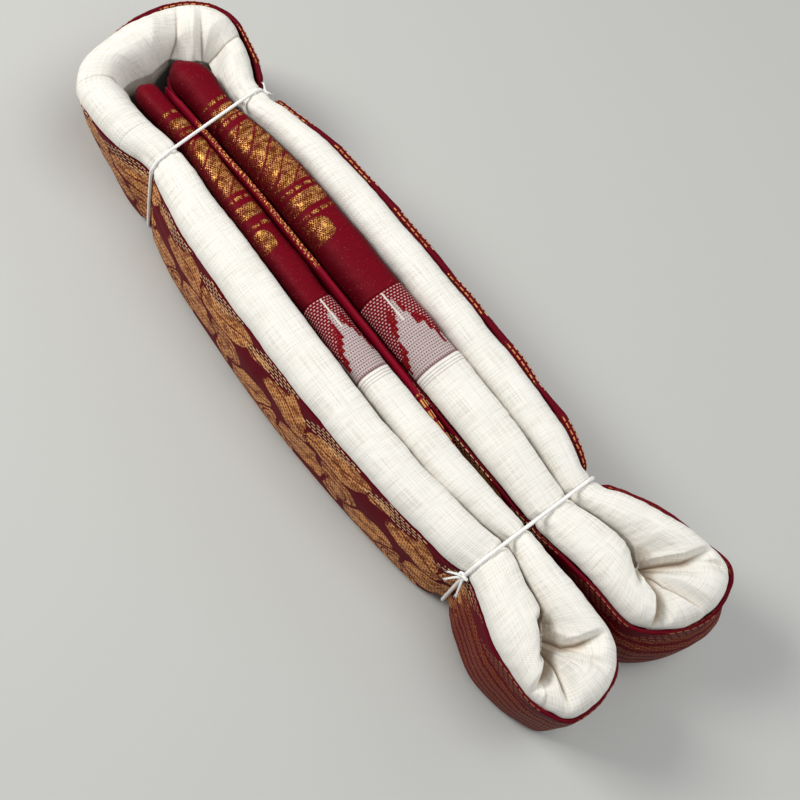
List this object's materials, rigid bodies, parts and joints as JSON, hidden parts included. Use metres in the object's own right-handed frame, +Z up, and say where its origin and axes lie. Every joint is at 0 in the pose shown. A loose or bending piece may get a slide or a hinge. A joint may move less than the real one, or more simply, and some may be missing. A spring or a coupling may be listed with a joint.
{
  "type": "saree",
  "caption": "New cotton saree folded into a thick strip, bent into a long bundle with a loop and two lobes, white with a maroon and gold border and brocade pallu, tied with thread.",
  "frame": {"origin": "middle of the underside's bounding box, on the surface it lies on", "axes": "+X along the bundle towards its two lobes, +Y across it towards the roll of the right lobe, +Z up out of the rolled edges"},
  "size_m": [0.3098, 0.0915, 0.0501],
  "materials": {
    "white_cotton": "matt plain weave",
    "maroon_border": "soft sheen with gold thread",
    "temple_band": "matt, maroon and white threads",
    "pallu_brocade": "maroon ground with gold thread, metallic glints",
    "tie_thread": "twisted cotton thread"
  },
  "bodies": {
    "root": {"inner_left_border": "maroon_border", "inner_left_band": "temple_band", "inner_left_run": "white_cotton", "left_lobe": "white_cotton", "outer_left_run": "white_cotton", "loop": "white_cotton", "outer_right_run": "white_cotton", "right_lobe": "white_cotton", "inner_right_run": "white_cotton", "inner_right_band": "temple_band", "inner_right_border": "maroon_border", "pallu_inner_left": "pallu_brocade", "pallu_left_lobe": "pallu_brocade", "pallu_outer_left": "pallu_brocade", "pallu_loop": "pallu_brocade", "pallu_outer_right": "pallu_brocade", "pallu_right_lobe": "pallu_brocade", "pallu_inner_right": "pallu_brocade", "centre_fold": "maroon_border", "tie_upper": "tie_thread", "tie_lower": "tie_thread"}
  },
  "joints": []
}
